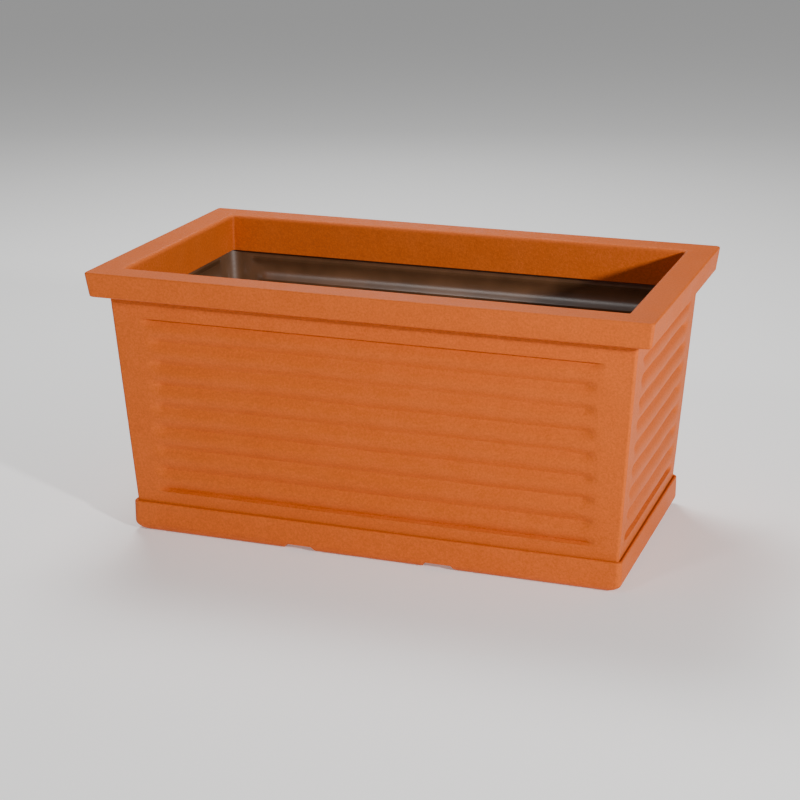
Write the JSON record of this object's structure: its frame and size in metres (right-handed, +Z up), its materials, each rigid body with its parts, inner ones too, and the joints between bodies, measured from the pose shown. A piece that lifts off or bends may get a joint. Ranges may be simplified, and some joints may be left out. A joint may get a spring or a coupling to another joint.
{
  "type": "planter trough with saucer",
  "caption": "Long tapered planter with a hollow square rim, ribbed panels on each wall, a dark lining, push-in drain plugs and a separate saucer under it.",
  "frame": {"origin": "on the ground, under the middle of the saucer", "axes": "+X along the length, +Y along the width, +Z up"},
  "size_m": [0.8, 0.45, 0.39],
  "materials": {
    "terracotta_polyethylene": "matt, very fine moulded grain",
    "dark_inner_polyethylene": "smooth and slightly glossy, as moulded against air",
    "saucer_polyethylene": "matt, very fine moulded grain",
    "plug_rubber": "matt"
  },
  "bodies": {
    "saucer": {"saucer": "saucer_polyethylene"},
    "planter": {"planter_shell": "terracotta_polyethylene", "inner_layer": "dark_inner_polyethylene"},
    "plug_1": {"drain_plug_1": "plug_rubber"},
    "plug_2": {"drain_plug_2": "plug_rubber"},
    "plug_3": {"drain_plug_3": "plug_rubber"},
    "plug_4": {"drain_plug_4": "plug_rubber"},
    "plug_5": {"drain_plug_5": "plug_rubber"},
    "plug_6": {"drain_plug_6": "plug_rubber"}
  },
  "joints": [
    {"name": "planter_lift", "type": "slide", "parent": "saucer", "child": "planter", "axis": [0, 0, 1], "range_m": [0, 0.08]},
    {"name": "plug_1_pull", "type": "slide", "parent": "planter", "child": "plug_1", "axis": [0, 0, 1], "range_m": [0, 0.04]},
    {"name": "plug_2_pull", "type": "slide", "parent": "planter", "child": "plug_2", "axis": [0, 0, 1], "range_m": [0, 0.04]},
    {"name": "plug_3_pull", "type": "slide", "parent": "planter", "child": "plug_3", "axis": [0, 0, 1], "range_m": [0, 0.04]},
    {"name": "plug_4_pull", "type": "slide", "parent": "planter", "child": "plug_4", "axis": [0, 0, 1], "range_m": [0, 0.04]},
    {"name": "plug_5_pull", "type": "slide", "parent": "planter", "child": "plug_5", "axis": [0, 0, 1], "range_m": [0, 0.04]},
    {"name": "plug_6_pull", "type": "slide", "parent": "planter", "child": "plug_6", "axis": [0, 0, 1], "range_m": [0, 0.04]}
  ]
}
